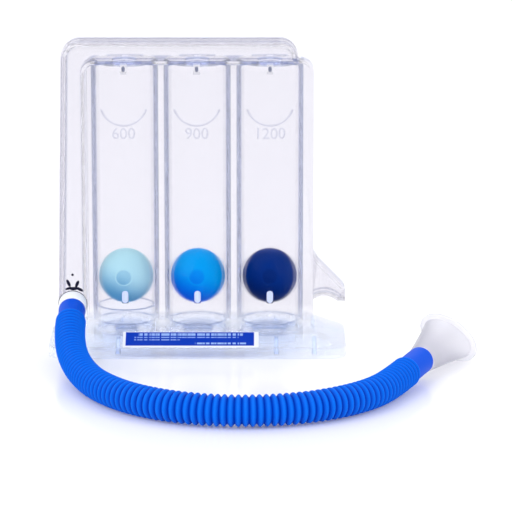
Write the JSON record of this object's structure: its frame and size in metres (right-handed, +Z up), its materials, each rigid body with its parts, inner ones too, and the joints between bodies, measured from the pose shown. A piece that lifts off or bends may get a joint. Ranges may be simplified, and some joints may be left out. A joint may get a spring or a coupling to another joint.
{
  "type": "incentive spirometer",
  "caption": "Clear flow incentive spirometer with balls in upright chambers, a side duct, a corrugated hose and an oval mouthpiece.",
  "frame": {"origin": "centre of the base on the surface it stands on, in the parting plane", "axes": "+X to the user's right, from the duct to the hose clip; -Y towards the user; +Z up"},
  "size_m": [0.1966, 0.182, 0.1442],
  "materials": {
    "clear_plastic": "clear polystyrene, polished",
    "clear_tray": "clear polystyrene, polished",
    "label_blue": "printed film with a white border",
    "ball_light_blue": "smooth moulded",
    "ball_azure": "smooth moulded",
    "ball_navy": "smooth moulded",
    "hose_blue": "soft blown plastic, semi-gloss",
    "frosted_plastic": "frosted, translucent"
  },
  "bodies": {
    "housing": {"front_shell": "clear_plastic", "rear_shell": "clear_plastic", "base_tray": "clear_tray", "base_label": "label_blue", "hose": "hose_blue", "hose_cuff_body": "hose_blue", "hose_cuff_mouth": "hose_blue", "mouthpiece": "frosted_plastic"},
    "left_ball": {"ball_left": "ball_light_blue"},
    "middle_ball": {"ball_middle": "ball_azure"},
    "right_ball": {"ball_right": "ball_navy"}
  },
  "joints": [
    {"name": "left_ball_rise", "type": "slide", "parent": "housing", "child": "left_ball", "axis": [0, 0, 1], "range_m": [0, 0.0848]},
    {"name": "middle_ball_rise", "type": "slide", "parent": "housing", "child": "middle_ball", "axis": [0, 0, 1], "range_m": [0, 0.0848]},
    {"name": "right_ball_rise", "type": "slide", "parent": "housing", "child": "right_ball", "axis": [0, 0, 1], "range_m": [0, 0.0848]}
  ]
}
